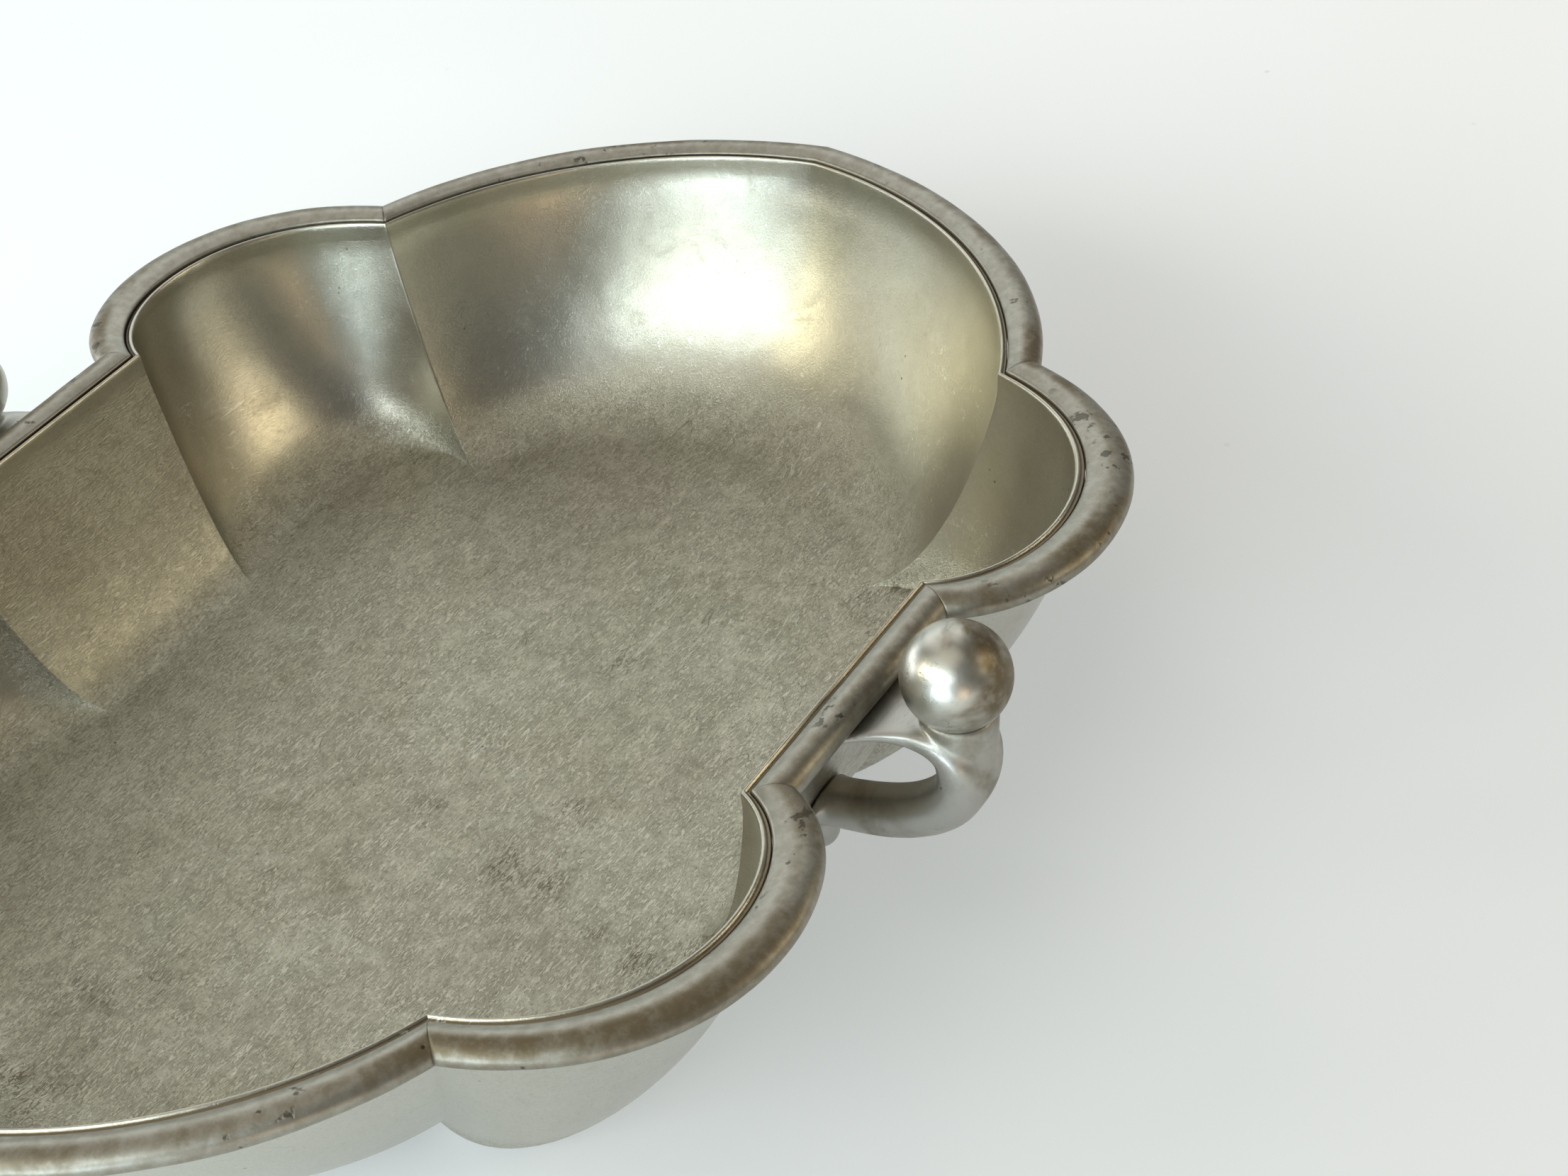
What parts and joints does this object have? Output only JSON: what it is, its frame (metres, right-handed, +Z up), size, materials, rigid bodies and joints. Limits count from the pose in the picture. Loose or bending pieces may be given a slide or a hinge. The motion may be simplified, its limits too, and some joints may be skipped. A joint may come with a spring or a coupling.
{
  "type": "lobed dish",
  "caption": "Lobed pewter dish with sloping creased walls, a soldered half-round rim and two loop handles, each carrying a thumb ball.",
  "frame": {"origin": "middle of the flat base, on the surface that the dish stands on", "axes": "+X along the dish from blunt tip to blunt tip, +Y from one handle to the other, +Z up"},
  "size_m": [0.3364, 0.271, 0.071],
  "materials": {
    "pewter_shell": "satin pewter, hand finished, lightly stained inside",
    "pewter_rim": "satin pewter with brown tarnish and small pits",
    "pewter_cast": "cast pewter, brushed smooth",
    "pewter_polished": "turned pewter, worn to a soft polish",
    "solder": "dull rough solder"
  },
  "bodies": {
    "root": {"ball_back": "pewter_polished", "ball_front": "pewter_polished", "bowl_shell": "pewter_shell", "handle_back": "pewter_cast", "handle_front": "pewter_cast", "rim_corner_back_left": "pewter_rim", "rim_corner_back_right": "pewter_rim", "rim_corner_front_left": "pewter_rim", "rim_corner_front_right": "pewter_rim", "rim_end_left": "pewter_rim", "rim_end_right": "pewter_rim", "rim_side_back": "pewter_rim", "rim_side_front": "pewter_rim", "solder_back": "solder", "solder_front": "solder"}
  },
  "joints": []
}
